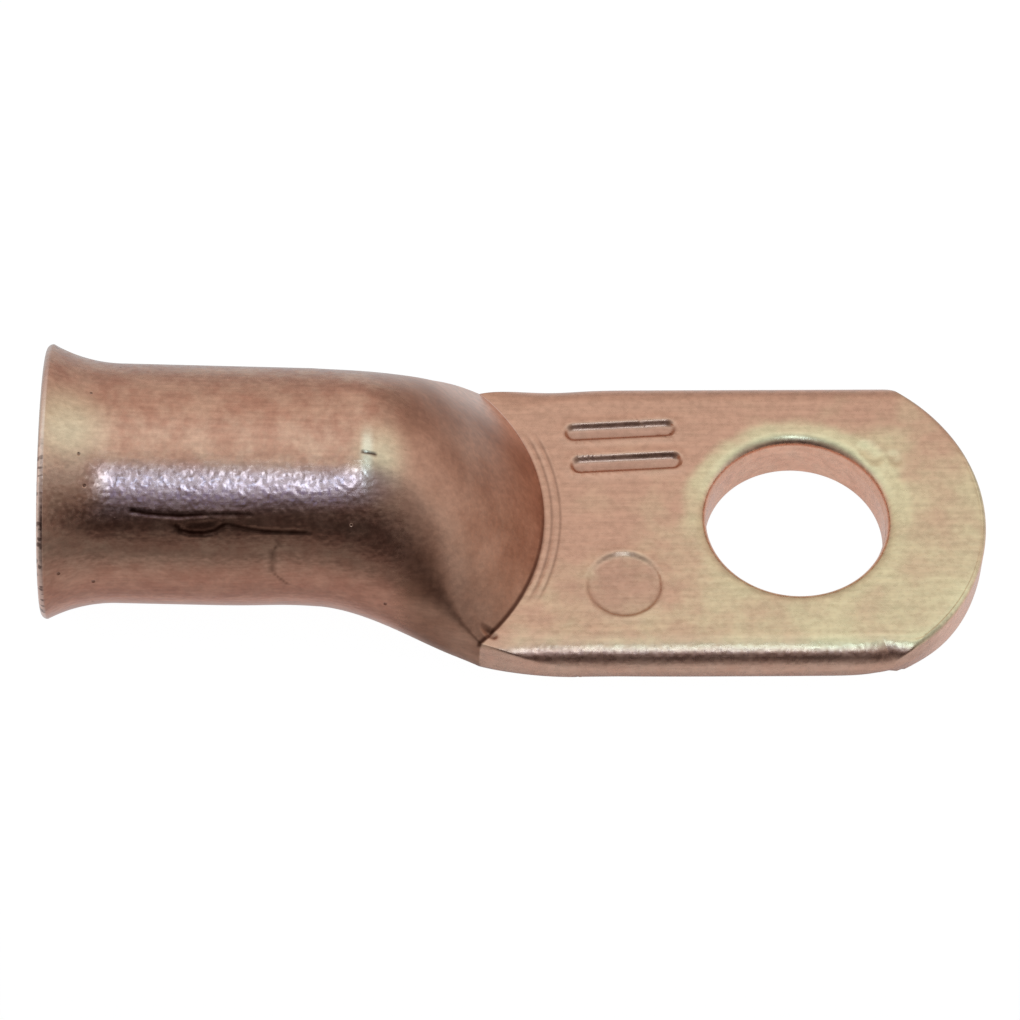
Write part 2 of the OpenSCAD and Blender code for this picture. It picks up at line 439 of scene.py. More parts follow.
# %% Mesh builder
def grid_faces(first, rows, columns):
    """Four-sided faces of a grid whose columns close into a ring."""
    r, c = np.meshgrid(np.arange(rows - 1), np.arange(columns), indexing="ij")
    n = (c + 1) % columns
    quad = [r * columns + c, r * columns + n, (r + 1) * columns + n, (r + 1) * columns + c]
    return first + np.stack([q.ravel() for q in quad], axis=-1)


def end_cap(first, columns):
    """Faces that close a ring across its two halves."""
    k = np.arange(columns // 2)
    across = [k, k + 1, (columns - k - 1) % columns, (columns - k) % columns]
    return first + np.stack(across, axis=-1)


print("faces of a grid of 2 rows and 4 columns:", grid_faces(0, 2, 4).tolist())


# %% [markdown]
# ### Joining and closing
# from_pydata takes the points and faces of all the grids at once. bmesh then merges
# the doubles, and a print of the open edges tells whether the skin is closed.


# %% Join and close
def skin(name, grids, caps):
    """Joins the grids into one closed mesh object in metres."""
    points, faces, first = [], [], 0
    for grid in grids:
        points.append(grid.reshape(-1, 3))
        faces.append(grid_faces(first, grid.shape[0], grid.shape[1]))
        first += points[-1].shape[0]
    faces += caps
    mesh = bpy.data.meshes.new(name)
    mesh.from_pydata(np.concatenate(points) * MM, [], np.concatenate(faces).tolist())
    built = bpy.data.objects.new(name, mesh)
    bpy.context.scene.collection.objects.link(built)
    return built


def close_up(built, gap):
    """Merges doubles, drops faces without area, fills the slivers that this leaves
    and turns the normals outwards."""
    work = bmesh.new()
    work.from_mesh(built.data)
    bmesh.ops.remove_doubles(work, verts=work.verts, dist=gap)
    bmesh.ops.dissolve_degenerate(work, edges=work.edges, dist=gap)
    rims = [edge for edge in work.edges if edge.is_boundary]
    bmesh.ops.holes_fill(work, edges=rims, sides=4)
    bmesh.ops.recalc_face_normals(work, faces=work.faces)
    open_edges = sum(1 for edge in work.edges if len(edge.link_faces) != 2)
    volume = work.calc_volume() / MM**3
    print(built.name, "faces:", len(work.faces), "open edges:", open_edges)
    print("volume, mm3: %.1f" % volume)
    work.to_mesh(built.data)
    work.free()


# %% [markdown]
# ## The lug's mesh
# The rows of neck, tube and bore, the two faces of the palm, and a cap on the closed
# end of the bore make one skin. Points that are the same to 2 micrometres merge.

# %% The lug
SAME_POINT = 0.002 * MM
cap = end_cap((rows.shape[0] - 1) * ROUND, ROUND)
lug = skin("lug_skin", [rows, palm_top.transpose(1, 0, 2), palm_low.transpose(1, 0, 2)], [cap])
close_up(lug, SAME_POINT)

# %% [markdown]
# ## Marks of work and wear
# A lug like this is stamped on the palm and knocked about in a box. A stamp or a
# scratch is a real dent, so it is pressed into the mesh: first the faces under it
# are split finer, then every point moves inwards along its normal by the depth
# there. Grime settles in a dent, so each point also gets its share of grime, as an
# attribute that the material reads. The same attribute also carries painted shade
# in the valleys of the ripples.


# %% Press functions
def mesh_array(built, domain, name, size):
    """A named vector of all vertices or edges as one array."""
    items = getattr(built.data, domain)
    values = np.empty(len(items) * size, dtype=np.int32 if domain == "edges" else np.float32)
    items.foreach_get(name, values)
    return values.reshape(-1, size)


def refine(built, near, cuts):
    """Splits each edge whose two ends are near a mark, cuts times."""
    close = near(mesh_array(built, "vertices", "co", 3) / MM)
    ends = mesh_array(built, "edges", "vertices", 2)
    work = bmesh.new()
    work.from_mesh(built.data)
    work.edges.ensure_lookup_table()
    chosen = [work.edges[i] for i in np.flatnonzero(close[ends].all(axis=1))]
    bmesh.ops.subdivide_edges(work, edges=chosen, cuts=cuts, use_grid_fill=True)
    work.to_mesh(built.data)
    work.free()
    print("split", len(chosen), "edges, now", len(built.data.polygons), "faces")


def to_stroke(points, path):
    """Distance from each point to the nearest stretch of a path in space."""
    best = np.full(len(points), 1e3)
    for start, end in zip(path[:-1], path[1:]):
        run = end - start
        along = np.clip((points - start) @ run / max(run @ run, 1e-9), 0, 1)
        best = np.minimum(best, np.linalg.norm(points - start - along[:, None] * run, axis=1))
    return best


# %% [markdown]
# ### Where a stroke lies
# On the barrel a place is x and degrees up from the front side, and on the palm it is
# x and y. The distance to a stroke, put through a smooth step, gives the dent.


# %% Places and dents
def on_barrel(*spots):
    """Points on the tube from pairs of x and degrees up from the front side."""
    x, turn = np.array(spots).T
    a = np.radians(turn)
    return np.stack([x, -TUBE_R * np.cos(a), axis_z(x) + TUBE_R * np.sin(a)], axis=1)


def on_palm(*spots):
    """Points on the palm's upper face from pairs of x and y."""
    x, y = np.array(spots, dtype=float).T
    return np.stack([x, y, np.full_like(x, PALM_T)], axis=1)


def past_crease(points):
    """How far a point lies outside the crease, seen from above."""
    return np.hypot(np.maximum(points[:, 0] - PRESS_X, 0), points[:, 1]) - CREASE_R


def dent(distance, half_width, wall, depth):
    """Depth of a mark: full inside half_width, then a soft wall up to the face."""
    return depth * ease((half_width + wall - distance) / wall)


print("half way up the wall of a mark 0.3 mm deep, mm: %.2f" % dent(0.1, 0.0, 0.2, 0.3))


# %% [markdown]
# ## The strokes
# Each stroke is a path with its half width, the width of its wall, its depth and
# the share of grime in it. Those on the barrel are scratches and knocks. On the palm
# two plain bars and a plain round dimple stand where a maker would stamp the lug,
# and two small dents lie between the hole and the tip.

# %% Strokes on barrel, neck and palm
STROKES = [
    (on_barrel((-37.7, 43), (-37.0, 41.8), (-36.0, 41.2), (-35.0, 41.0), (-33.8, 41.8)),
     0.03, 0.2, 0.032, 1.0),
    (on_barrel((-33.8, 41.8), (-32.6, 42.3), (-31.1, 42)), 0.02, 0.14, 0.014, 0.8),
    (on_barrel((-35.3, 36.5), (-35.1, 34.3), (-34.5, 32.9), (-33.8, 32.8), (-33.1, 34.4), (-32.6, 37.5)),
     0.04, 0.2, 0.026, 1.0),
    (on_barrel((-34.5, 35.6), (-33.3, 36.2)), 0.15, 0.4, 0.03, 0.7),
    (on_barrel((-32.4, 37.5), (-31.4, 35.6), (-30.4, 34.0), (-29.2, 33.6), (-28.1, 33.8)),
     0.02, 0.2, 0.02, 0.9),
    (on_barrel((-29.6, 28), (-30.0, 22), (-30.1, 16), (-30.0, 10), (-29.6, 5), (-29.2, 1)),
     0.0, 0.09, 0.006, 0.6),
    (np.array([(-24.9, -2.02, 12.7), (-24.18, -2.11, 12.54)]), 0.0, 0.11, 0.05, 1.0),
    (np.array([(-18.8, -7.6, 4.0), (-18.2, -7.95, 3.5), (-17.6, -8.2, 3.2)]), 0.0, 0.34, 0.08, 0.6),
    (on_palm((-12.8, 5.9), (-7.4, 6.2)), 0.26, 0.42, 0.3, 0.3),
    (on_palm((-12.5, 3.6), (-7.1, 3.9)), 0.26, 0.42, 0.3, 0.3),
    (on_palm((-10.1, -4.7), (-10.1, -4.71)), 1.9, 0.4, 0.18, 0.15),
    (on_palm((4.3, 4.6), (4.7, 4.1)), 0.05, 0.7, 0.13, 0.0),
    (on_palm((5.85, 4.1), (5.95, 3.8)), 0.02, 0.5, 0.09, 0.0),
]
print("strokes:", len(STROKES))

# %% [markdown]
# ## Finer faces where the marks are
# The press tool leaves two faint ripples in the palm along the crease. They and the
# strokes are finer than the grid, so its edges are split there, and only there.

# %% Split the faces under the marks
RIPPLE, RIPPLE_PITCH, RIPPLE_REACH, RIPPLE_GRIME = 0.022, 0.5, 1.3, 0.4
SPARE = 0.2


def near_stroke(points):
    """True within reach of any stroke."""
    close = [to_stroke(points, path) - half - wall < SPARE for path, half, wall, *_ in STROKES]
    return np.any(close, axis=0)


def near_crease(points):
    """True on the strip of palm just past the crease, where the ripples are."""
    past = past_crease(points)
    strip = (past > -0.02) & (past < RIPPLE_REACH + SPARE)
    return strip & (points[:, 2] > PALM_T - 0.01) & (np.abs(points[:, 1]) < 6.5)


refine(lug, near_crease, 2)
refine(lug, near_stroke, 1)

# %% [markdown]
# ## Back onto the true circle
# Splitting an edge puts the new point on the chord, a hair inside the round. On a
# mirror-like metal that shows as facets, so on the straight stretch of the tube each
# point first goes back out to the true radius. x, y and z are views of the points, so
# they follow every move.

# %% Snap the straight tube to its circle
TUBE_START, TUBE_END = -38.6, NECK_X0 - 0.35
points = mesh_array(lug, "vertices", "co", 3).astype(float) / MM
normals = mesh_array(lug, "vertices", "normal", 3).astype(float)
x, y, z = points.T
above = z - axis_z(x)
on_tube = (x < TUBE_END) & (x > TUBE_START) & (np.hypot(y, above) > TUBE_R - 0.3)
spoke = np.stack([np.zeros_like(x), y, above], axis=1)
spoke /= np.maximum(np.linalg.norm(spoke, axis=1), 1e-6)[:, None]
snap = np.where(on_tube, TUBE_R - np.hypot(y, above * math.cos(LEAN)), 0)
points += snap[:, None] * spoke
print("furthest snap, mm: %.3f" % np.abs(snap).max())

# %% [markdown]
# ## Depth and grime of the strokes
# Metal that is pushed aside stands up as a low lip beside a stroke, which catches
# the light. Grime reaches a little further than the dent itself.

# %% Depth and grime of the strokes
LIP, LIP_WIDTH, LIP_SPREAD = 0.16, 0.1, 0.4
GRIME_SPARE = 0.06
depth = np.zeros(len(points))
grime = np.zeros(len(points))
faces_up = normals[:, 2] > -0.3
for path, half, wall, deep, dirt in STROKES:
    away = to_stroke(points, path)
    from_wall = (away - half - wall) / (LIP_WIDTH + LIP_SPREAD * wall)
    lip = LIP * deep * np.exp(-(from_wall**2))
    depth += np.where(faces_up, dent(away, half, wall, deep) - lip, 0)
    soiled = dent(away, half, wall + GRIME_SPARE, dirt)
    grime = np.maximum(grime, np.where(faces_up, soiled, 0))
print("deepest stroke, mm: %.2f" % depth.max())

# %% [markdown]
# ## Ripples, the dish round the hole and the tip's sag
# The ripples are a cosine of the distance past the crease, faded out at their ends.
# Their valleys are darkened as painted shade, through the same attribute as the grime.
# The punch draws the metal down in a wide, shallow dish round the hole, deeper on
# one side. The shears pull the tip's front edge down a little in the same way.

# %% Depth of ripples, dish and sag
DISH, DISH_REACH, DISH_LEAN = 0.07, 1.9, math.radians(50)
TIP_SAG, TIP_SAG_REACH, TIP_SAG_LEAN = 0.1, 1.4, math.radians(-45)
on_top = (z > PALM_T - 0.05) & (normals[:, 2] > 0.5)
past = past_crease(points)
fade = ease(past / 0.15) * ease((RIPPLE_REACH - past) / 0.4) * ease((6.2 - np.abs(y)) / 1.5)
wave = np.cos(2 * np.pi * (past - 0.45) / RIPPLE_PITCH)
depth += np.where(on_top, RIPPLE * fade * wave, 0)
# Painted shade: the valleys of the ripples are darkened through the same attribute.
valley = RIPPLE_GRIME * fade * np.clip(wave, 0, 1) ** 1.5
grime = np.maximum(grime, np.where(on_top, valley, 0))

outward, from_stud = np.arctan2(y, x), np.hypot(x, y)
lopsided = 0.65 + 0.35 * np.cos(outward - DISH_LEAN)
ring = np.clip(1 - (from_stud - STUD_R) / DISH_REACH, 0, 1) ** 2
by_hole = (z > PALM_T - PUNCH_ROLL - 0.02) & (normals[:, 2] > 0.02)
depth += np.where(by_hole, DISH * lopsided * ring, 0)

from_tip = np.clip(1 - (TIP_R - from_stud) / TIP_SAG_REACH, 0, 1)
sag = from_tip**2 * np.clip(np.cos(outward - TIP_SAG_LEAN), 0, 1)
depth += np.where(on_top & (x > 0), TIP_SAG * sag, 0)
points -= depth[:, None] * normals
print("deepest mark, mm: %.2f" % depth.max())

# %% [markdown]
# ## Pinches and the worn corner
# The press pinches the lug slightly in two places. The tip's front corner is rubbed
# round: its outline is the lesser of the straight flank and the arc, here joined
# softly instead of at a point, and the points move in by the difference. Its lower
# edge is worn back a little further.

# %% Pinches and the worn corner
PINCH, PINCH_REAR, PINCH_FRONT = 0.15, (-13.8, 1.8), (-29.2, 2.2)
CORNER_SOFT, LOW_TRIM, LOW_TRIM_AT = 0.33, 0.4, (6.0, 2.0)


def hump(value, middle, width):
    """A bell curve: 1 at the middle, and nearly 0 at twice the width."""
    return np.exp(-(((value - middle) / width) ** 2))


points[:, 1] -= PINCH * hump(x, *PINCH_REAR) * ease((y - 7.5) / 1.5)
points[:, 1] += PINCH * hump(x, *PINCH_FRONT) * ease((-y - 3.5) / 3)
flank = PALM_HALF / np.maximum(-np.sin(outward), 0.3)
outline = np.minimum(flank, TIP_R)
softened = -CORNER_SOFT * np.log(np.exp(-flank / CORNER_SOFT) + np.exp(-TIP_R / CORNER_SOFT))
to_outline = ease((from_stud - outline + 2.5) / 2)
worn = to_outline * ease((-y - 3) / 3) * ease((x + 1) / 2)
pull = (outline - softened) * worn
pull += LOW_TRIM * worn * hump(x, *LOW_TRIM_AT) * ease((1.9 - z) / 1.9)
points[:, 0] -= pull * np.cos(outward)
points[:, 1] -= pull * np.sin(outward)
print("worn off the corner, mm: %.2f" % pull.max())

# %% [markdown]
# ## Into the mesh
# The moved points and the grime go back into the mesh in one call each. The skin is
# shaded smooth, but an edge that turns by more than 32 degrees stays crisp.

# %% Write the points and the grime
SHARP = math.radians(32)
mesh = lug.data
mesh.vertices.foreach_set("co", (points * MM).astype(np.float32).ravel())
mesh.attributes.new("grime", "FLOAT", "POINT").data.foreach_set("value", grime.astype(np.float32))
mesh.update()
mesh.polygons.foreach_set("use_smooth", np.ones(len(mesh.polygons), dtype=bool))
mesh.set_sharp_from_angle(angle=SHARP)
print("triangles:", sum(len(face.vertices) - 2 for face in mesh.polygons))

# %% [markdown]
# ## The metal
# Soft drawn copper, pickled clean and then handled: a metal with a pink-brown base
# colour and a roughness near 0.2. The drawing leaves fine streaks along the lug. The
# palm gets a yellowish painted sheen, the barrel painted highlights and brown blotches,
# the shoulder a browner colour, and the edges a paler one. All of it is worked out from
# Object coordinates, brought to mm, so the finish stays on the metal.

# %% Kinds of node, and the copper
ADD, TIMES, LESS = [kind("Math", operation=name) for name in ("ADD", "MULTIPLY", "SUBTRACT")]
LARGER, SIZE = [kind("Math", operation=name) for name in ("MAXIMUM", "ABSOLUTE")]
SCALED, OVER, DOT = [kind("VectorMath", operation=name) for name in ("SCALE", "DIVIDE", "DOT_PRODUCT")]
BACK, LENGTH, UNIT = [kind("VectorMath", operation=name) for name in ("SUBTRACT", "LENGTH", "NORMALIZE")]
STEP = kind("MapRange", interpolation_type="SMOOTHSTEP")
BLEND = kind("Mix", data_type="RGBA")
JOIN, SPLIT = kind("CombineXYZ"), kind("SeparateXYZ")

copper = bpy.data.materials.new("drawn_copper_tarnished")
copper.use_nodes = True
tree = copper.node_tree
tree.nodes.clear()
metres = add_node(tree, kind("TexCoord")).outputs["Object"]
mm = add_node(tree, SCALED, metres, 1 / MM)
x_mm, y_mm, z_mm = add_node(tree, SPLIT, mm).outputs
print("nodes that give the place in mm:", len(tree.nodes))

# %% [markdown]
# ### Where things are
# Masks tell the palm from the barrel, its top from its edges, and the ring round
# the hole. The palm starts at the crease, which is an arc about a point on the axis.
# A STEP line reads: a value, where the mask starts and where it is full, in mm. Two
# more numbers, where there are any, are its strengths at those two places.

# %% Masks
past_press = add_node(tree, LARGER, add_node(tree, ADD, x_mm, -PRESS_X), 0.0)
from_press = add_node(tree, LENGTH, add_node(tree, JOIN, past_press, y_mm))
palm = add_node(tree, STEP, from_press, CREASE_R - 0.02, CREASE_R + 0.12)
not_palm = add_node(tree, LESS, 1.0, palm)
edge = add_node(tree, TIMES, palm, add_node(tree, STEP, z_mm, PALM_T - 0.1, PALM_T - 0.45))
shoulder = add_node(tree, TIMES, add_node(tree, STEP, x_mm, -24.0, -21.5), not_palm)
hole_away = add_node(tree, LENGTH, add_node(tree, JOIN, x_mm, y_mm))
hole_ring = add_node(tree, STEP, hole_away, STUD_R + 1.9, STUD_R + 0.9)
along_axis = add_node(tree, DOT, add_node(tree, BACK, mm, (NECK_X0, 0, AXIS_Z0)), TUBE_AXIS)
lip = add_node(tree, STEP, along_axis, TUBE_LENGTH - 0.42, TUBE_LENGTH - 0.25)
print("nodes with the masks:", len(tree.nodes))

# %% [markdown]
# ### Patterns
# Every uneven thing is a noise of its own grain: wide clouds of tarnish, blotches,
# the metal's grain, the long streaks of drawing, the nicks of the cut rim, and specks
# and notches. Real specks of pickling are about 0.1 mm wide, and these are drawn three
# times as coarse, so that they show.

# %% Patterns
PATTERNS = {  # the grain's size in mm along x, y and z, how many layers, their strength
    "clouds": ((3.125, 3.125, 3.125), 3.0, 0.5),
    "blotches": ((1.3333, 1.6667, 1.3333), 4.0, 0.6),
    "grain": ((0.41667, 0.41667, 0.41667), 2.0, 0.6),
    "streaks": ((4.5455, 0.3125, 0.3125), 3.0, 0.6),
    "nicks": ((2.5, 0.38462, 0.38462), 1.0, 0.5),
    "notches": ((0.35714, 2.0, 1.6667), 1.0, 0.5),
    "specks": ((0.30303, 0.30303, 0.30303), 0.5, 0.5),
    "mist": ((0.27778, 0.27778, 0.27778), 0.5, 0.5),
}
noise = {}
for name, (size, layers, strength) in PATTERNS.items():
    where = add_node(tree, OVER, mm, size)
    noise[name] = add_node(
        tree, kind("TexNoise"), Vector=where, Scale=1.0, Detail=layers, Roughness=strength
    )
print("patterns:", ", ".join(noise))

# %% [markdown]
# ### The palm's colour
# The palm is pink. A straw colour is painted on as sheen where the palm would look
# brighter: it grows towards the tip and the front, drifts at random with the clouds, and
# is a painted highlight round the hole and in one corner.

# %% The palm's colour
# Painted sheen: a straw colour towards the tip and the front, painted highlights round the hole and in one
# corner, and random clouds.
BLOOM_SLOPE, BLOOM_START = (0.024, -0.039, 0.0), 0.36
bloom = add_node(tree, ADD, add_node(tree, DOT, mm, BLOOM_SLOPE), BLOOM_START)
drift = add_node(tree, STEP, noise["clouds"], 0.3, 0.7, -0.2, 0.2)
# Painted highlight round the hole, stronger on its far side.
by_hole = add_node(tree, TIMES, hole_ring, add_node(tree, STEP, y_mm, -2.5, 2.0, 0.12, 0.6))
by_corner = add_node(tree, TIMES, patch(tree, mm, (5.0, 4.6, 3.2), 2.6, 0.6), 0.5)
for more in (drift, by_hole, by_corner):
    bloom = add_node(tree, ADD, bloom, more)
bloom = add_node(tree, STEP, bloom, 0.0, 1.0)
palm_colour = add_node(tree, BLEND, bloom, linear("#d9a98e"), linear("#ead8ad"))
edge_colour = add_node(tree, BLEND, noise["blotches"], linear("#ecb096"), linear("#f6cdb4"))
print("nodes with the palm's colour:", len(tree.nodes))

# %% [markdown]
# ### The barrel's colour
# The barrel is blotched, and browner low down. Painted highlights make it pale at the
# flare and where it bends into the neck, with a bright painted line on the bend itself.
# The shoulder is browner still, with a painted highlight at its upper end, and a faint
# lilac tint is painted along the top to colour the lamps' long reflection there.

# %% The barrel's colour
BEND_X = -24.65
uneven = add_node(tree, STEP, noise["blotches"], 0.3, 0.7)
low_colour = add_node(tree, BLEND, uneven, linear("#c88a72"), linear("#d89c82"))
high_colour = add_node(tree, BLEND, uneven, linear("#c7937b"), linear("#dbae93"))
barrel = add_node(tree, BLEND, add_node(tree, STEP, z_mm, 6.0, 10.5), low_colour, high_colour)
# Painted highlights: pale patches at the flare and the bend, and a bright line on the bend.
flare_glow = patch(tree, mm, (-41.4, -0.9, 14.2), 3.3, 0.4)
bend_glow = patch(tree, mm, (-23.6, -1.8, 12.3), 2.6, 0.2)
glow = add_node(tree, LARGER, flare_glow, bend_glow)
from_bend = add_node(tree, SIZE, add_node(tree, ADD, x_mm, -BEND_X))
bend_line = add_node(tree, TIMES, add_node(tree, STEP, from_bend, 0.5, 0.05), 0.75)
bend_line = add_node(tree, TIMES, bend_line, patch(tree, mm, (-24.6, -2.4, 12.5), 2.4, 0.9))
for share, hex_colour in ((glow, "#e0c6a4"), (bend_line, "#f8eccf")):
    barrel = add_node(tree, BLEND, share, barrel, linear(hex_colour))
print("nodes with the barrel's colour:", len(tree.nodes))

# %% [markdown]
# ### Shoulder, smudge and tint
# The shoulder's brown is laid over the barrel's colour, then the smudge, the tint, the
# palm and its edge, each through its own mask.

# %% Shoulder, smudge and tint
cloudy = add_node(tree, STEP, noise["clouds"], 0.3, 0.7)
brown = add_node(tree, BLEND, cloudy, linear("#ab7961"), linear("#c4937a"))
# Painted highlight: the shoulder turns pale pink towards its upper end, from y = 3 to 8 mm.
brown = add_node(tree, BLEND, add_node(tree, STEP, y_mm, 3.0, 8.0), brown, linear("#fbd6c3"))
smudge = add_node(tree, STEP, noise["clouds"], 0.3, 0.55, 0.2, 0.7)
smudge = add_node(tree, TIMES, patch(tree, mm, (-22.9, 1.6, 11.9), 2.6, 0.2), smudge)
high, before_bend = add_node(tree, STEP, z_mm, 10.7, 11.5), add_node(tree, STEP, x_mm, -22.5, -25.0)
strip = add_node(tree, TIMES, high, before_bend)
front_side, past_flare = add_node(tree, STEP, y_mm, -2.5, -3.4), add_node(tree, STEP, x_mm, -40.6, -38.6)
# Painted reflection: a lilac tint on the front of the top strip colours the lamps' reflection there.
tint = add_node(tree, TIMES, add_node(tree, TIMES, front_side, past_flare), strip)
tint = add_node(tree, TIMES, tint, 0.75)
colour = add_node(tree, BLEND, shoulder, barrel, brown)
coats = (
    (smudge, linear("#8f6450")), (tint, linear("#c0a09e")), (palm, palm_colour), (edge, edge_colour),
)
for share, paint in coats:
    colour = add_node(tree, BLEND, share, colour, paint)
print("nodes with all the colours:", len(tree.nodes))

# %% [markdown]
# ### Grain, pits, grime and painted shade
# Grain and streaks make the colour lighter and darker by a few parts in a hundred.
# Small pits stand about 1.8 mm apart on the barrel, but most of them are left out. The
# dark brown of grime fills the pits and the strokes, and the same dark brown is painted
# shade in the valleys of the ripples and along the crease.

# %% Grain, pits, grime and painted shade
PITS_PER_MM = 0.55
grainy = add_node(tree, STEP, noise["grain"], 0.25, 0.75, 0.9, 1.08)
streaky = add_node(tree, STEP, noise["streaks"], 0.3, 0.7, 0.93, 1.06)
colour = add_node(tree, SCALED, colour, add_node(tree, TIMES, grainy, streaky))

cells = add_node(tree, kind("TexVoronoi", feature="F1"), Vector=mm, Scale=PITS_PER_MM)
pit_spot = add_node(tree, STEP, cells.outputs["Distance"], 0.075, 0.04)
pit_kept = add_node(tree, STEP, add_node(tree, SPLIT, cells.outputs["Color"]), 0.62, 0.66)
pit = add_node(tree, TIMES, add_node(tree, TIMES, pit_spot, pit_kept), not_palm)

# Painted shade: dark brown along the crease, stronger on the front side.
from_crease = add_node(tree, SIZE, add_node(tree, ADD, from_press, 0.03 - CREASE_R))
seam = add_node(tree, STEP, from_crease, 0.17, 0.03)
for share in (
    add_node(tree, STEP, y_mm, 3.0, -6.0, 0.12, 0.8), add_node(tree, STEP, z_mm, PALM_T - 0.4, PALM_T - 0.1),
):
    seam = add_node(tree, TIMES, seam, share)
# The attribute holds the grime of the strokes and the painted shade of the ripples.
settled = add_node(tree, kind("Attribute", attribute_name="grime")).outputs["Fac"]
dark = add_node(tree, LARGER, add_node(tree, TIMES, settled, 0.9), add_node(tree, TIMES, pit, 0.6))
dark = add_node(tree, LARGER, dark, seam)
colour = add_node(tree, BLEND, dark, colour, linear("#452013"))
print("nodes with the grime:", len(tree.nodes))

# %% [markdown]
# ### The cut rim
# The lip of the rim is painted pale, with fine dark notches across it on the front.
# They are too fine to be worth a cut in the mesh, so they are spots and a bump.

# %% The cut rim
nick = add_node(tree, TIMES, add_node(tree, STEP, noise["nicks"], 0.57, 0.65), lip)
nick = add_node(tree, TIMES, nick, add_node(tree, STEP, y_mm, -1.5, -4.0))
for share, strength, hex_colour in ((lip, 0.5, "#f7dccf"), (nick, 0.7, "#4a2a20")):
    share = add_node(tree, TIMES, share, strength)
    colour = add_node(tree, BLEND, share, colour, linear(hex_colour))
print("nodes with the rim:", len(tree.nodes))

# %% [markdown]
# ### Roughness
# The barrel is the smoothest, the palm and the shoulder are rougher, and a fine mist
# of uneven roughness lies on the strip along the top.

# %% Roughness
rough = add_node(tree, TIMES, add_node(tree, STEP, noise["mist"], 0.35, 0.65, -0.06, 0.08), strip)
for more in (
    add_node(tree, STEP, noise["grain"], 0.3, 0.7, 0.18, 0.25),
    add_node(tree, TIMES, palm, 0.07),
    add_node(tree, TIMES, shoulder, 0.12),
):
    rough = add_node(tree, ADD, rough, more)
print("nodes with the roughness:", len(tree.nodes))

# %% [markdown]
# ### Bump and shader
# Fine specks break up a lamp's reflection on the barrel. The palm has the streaks of
# drawing, and its edge and the rim carry fine cross notches. Each bump goes over the
# one before, with its depth in mm, and the last one, the pits, goes inwards.

# %% Bump and shader
front = add_node(tree, STEP, y_mm, 1.0, -3.0, 0.35, 1.0)
calm = add_node(tree, LESS, 1.0, add_node(tree, TIMES, shoulder, 0.6))
specks = add_node(tree, TIMES, noise["specks"], add_node(tree, TIMES, front, calm))
on_edge = add_node(tree, TIMES, noise["notches"], edge)
on_lip = add_node(tree, TIMES, noise["nicks"], lip)
notches = add_node(tree, ADD, on_edge, on_lip)
bumps = (
    (specks, 0.016, False), (noise["streaks"], 0.006, False), (notches, 0.024, False), (pit, 0.03, True),
)
under = {}
for height, deep, inwards in bumps:
    bump = add_node(
        tree, kind("Bump", invert=inwards), Height=height, Distance=deep * MM, Strength=1.0, **under
    )
    under = {"Normal": bump}
shader = add_node(
    tree, kind("BsdfPrincipled"), Base_Color=colour, Metallic=1.0, Roughness=rough, **under
)
add_node(tree, kind("OutputMaterial"), shader)
lug.data.materials.append(copper)
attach(lug, "root")
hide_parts("cable_lug")
print("copper nodes:", len(tree.nodes))

# %% [markdown]
# ## The table
# The lug lies on white paper that is lit so evenly that it has no shadows. So the
# camera sees the paper as a plain glow, and only the light that it throws back on the
# metal is worked out: a diffuse white that is darker towards the front, and a little
# glow near the lug, which the underside and the crease reflect.

# %% The table
TABLE_HALF, TABLE_GAP = 0.14, 0.00001
floor_z = float(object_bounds()[0][2]) - TABLE_GAP
mesh = bpy.data.meshes.new("table")
corners = [(TABLE_HALF * a, TABLE_HALF * b, floor_z) for a, b in ((-1, -1), (1, -1), (1, 1), (-1, 1))]
mesh.from_pydata(corners, [], [(0, 1, 2, 3)])
table = bpy.data.objects.new("table", mesh)
bpy.context.scene.collection.objects.link(table)
print("table at z, mm: %.2f" % (floor_z / MM))

# %% [markdown]
# ### Its paper
# Light Path tells what a ray is: one from the camera sees the glow, one that left the
# metal sees a share of it, and all other light falls on the diffuse white.

# %% White paper
GLOW, GLOW_SHARE = 1.06, 0.93
NEAR_LUG, FAR_FROM_LUG = 0.42, 0.1
paper = bpy.data.materials.new("white_table")
paper.use_nodes = True
tree = paper.node_tree
tree.nodes.clear()
place = add_node(tree, kind("TexCoord")).outputs["Object"]
depth_in = add_node(tree, SPLIT, place).outputs["Y"]
shade = add_node(tree, kind("ValToRGB"), add_node(tree, STEP, depth_in, -0.045, -0.006))
set_stops(shade, [(at, (grey, grey, grey, 1)) for at, grey in ((0.0, 0.2), (0.6, 0.5), (1.0, 0.8))])
beside = add_node(tree, SIZE, depth_in)
within = add_node(tree, STEP, beside, 0.009, 0.0065, FAR_FROM_LUG, NEAR_LUG)
ray = add_node(tree, kind("LightPath")).outputs
mirrored = add_node(tree, LARGER, ray["Is Glossy Ray"], ray["Is Transmission Ray"])
mirrored = add_node(tree, TIMES, mirrored, within)
share = add_node(tree, TIMES, add_node(tree, LARGER, ray["Is Camera Ray"], mirrored), GLOW_SHARE)
diffuse = add_node(tree, kind("BsdfDiffuse"), shade)
glow = add_node(tree, kind("Emission"), (1, 1, 1, 1), GLOW)
add_node(tree, kind("OutputMaterial"), add_node(tree, kind("MixShader"), share, diffuse, glow))
mesh.materials.append(paper)
print("paper nodes:", len(tree.nodes))

# %% [markdown]
# ## The room
# Bare metal shows what stands round it, so the room is half of its look: bright
# overhead and a little behind, dimmer in front, and nearly black low in front, where
# the one who looks would stand. Its colour depends on the angle from the darkest
# direction, squeezed along x so that the bands lie along the lug.

